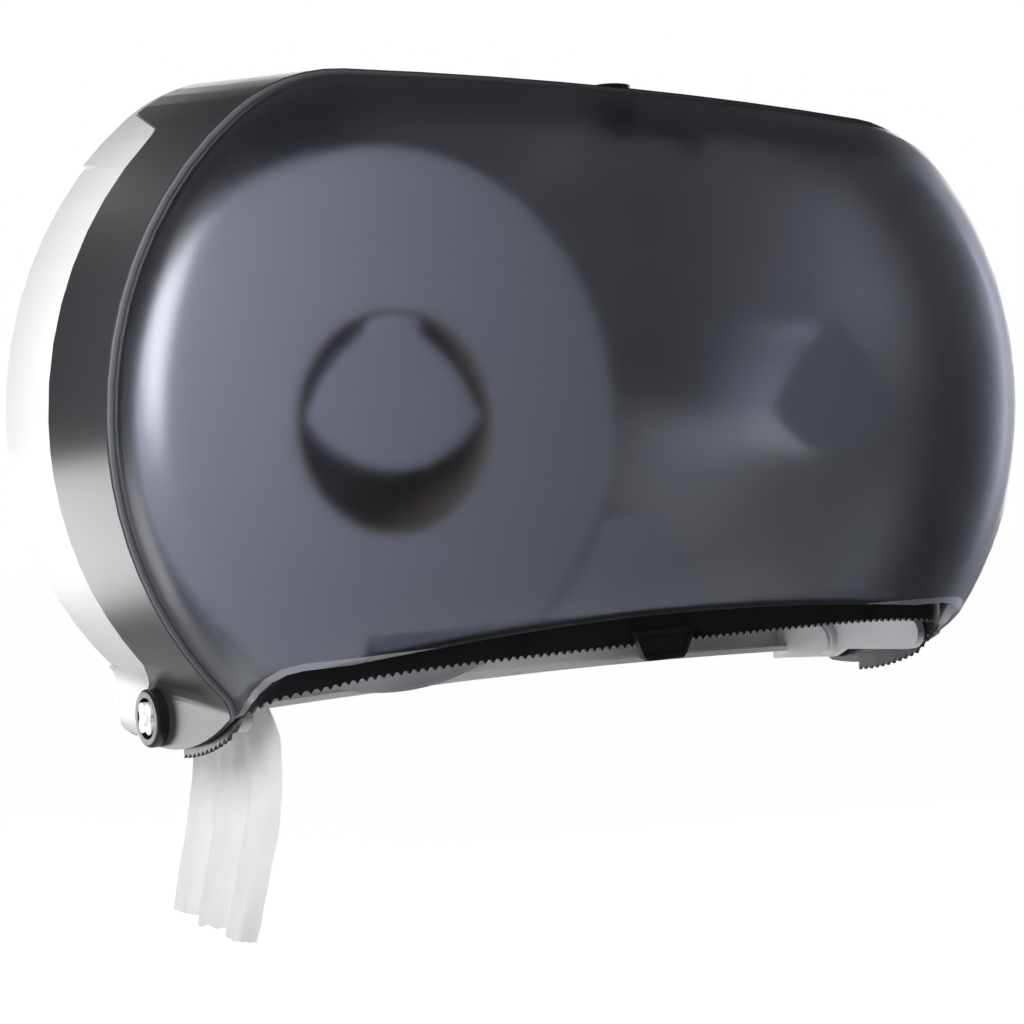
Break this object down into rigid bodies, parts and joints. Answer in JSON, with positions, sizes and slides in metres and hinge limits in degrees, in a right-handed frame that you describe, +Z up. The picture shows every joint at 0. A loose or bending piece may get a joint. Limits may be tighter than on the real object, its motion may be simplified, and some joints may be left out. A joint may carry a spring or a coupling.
{
  "type": "jumbo toilet roll dispenser",
  "caption": "Wall-mounted twin jumbo tissue roll dispenser with a smoked cover hinged at its lower edge, toothed tear strip, spindles and key lock.",
  "frame": {"origin": "centre of the four wall screw slots, on the wall plane, at the height of the spindles", "axes": "+X along the wall to the viewer's right, +Y into the wall, +Z up; the front faces -Y"},
  "size_m": [0.489, 0.1369, 0.366],
  "materials": {
    "smoked_cover": "smoked translucent plastic, satin outside",
    "white_plastic": "fine moulded satin",
    "grey_plastic": "pale grey moulded plastic",
    "black_plastic": "semi-gloss moulded",
    "steel": "zinc plated",
    "tissue": "soft embossed tissue",
    "cardboard": "grey-brown board"
  },
  "bodies": {
    "housing": {"housing": "white_plastic", "roll_divider": "white_plastic", "spindle_left": "grey_plastic", "spindle_right": "grey_plastic", "spindle_cap_left": "grey_plastic", "spindle_cap_right": "grey_plastic", "spindle_screws": "steel", "hinge_pin_left": "white_plastic", "hinge_pin_right": "white_plastic", "lock_strike": "white_plastic", "strike_screws": "steel", "tissue_tail": "tissue"},
    "cover": {"cover_shell": "smoked_cover", "tear_strip": "black_plastic", "hinge_ring_left": "black_plastic", "hinge_ring_right": "black_plastic", "lock_sleeve": "black_plastic", "selector_rail": "black_plastic", "rail_screws": "steel"},
    "lock": {"lock_barrel": "steel", "latch_arm": "steel", "latch_screw": "steel"},
    "selector": {"selector_bar": "white_plastic", "selector_grip": "black_plastic"},
    "roll": {"paper_roll": "tissue", "roll_core": "cardboard"}
  },
  "joints": [
    {"name": "cover_hinge", "type": "hinge", "parent": "housing", "child": "cover", "pos_m": [0, -0.041, -0.1218], "axis": [1, 0, 0], "range_deg": [0, 90], "deforming": ["tissue_tail"]},
    {"name": "key_turn", "type": "hinge", "parent": "cover", "child": "lock", "pos_m": [0, -0.101, 0.13], "axis": [0, 0, 1], "range_deg": [0, 90]},
    {"name": "selector_slide", "type": "slide", "parent": "cover", "child": "selector", "axis": [1, 0, 0], "range_m": [-0.06, 0.06]},
    {"name": "roll_spin", "type": "hinge", "parent": "housing", "child": "roll", "pos_m": [-0.1215, -0.0677, 0], "axis": [0, 1, 0], "continuous": true}
  ]
}
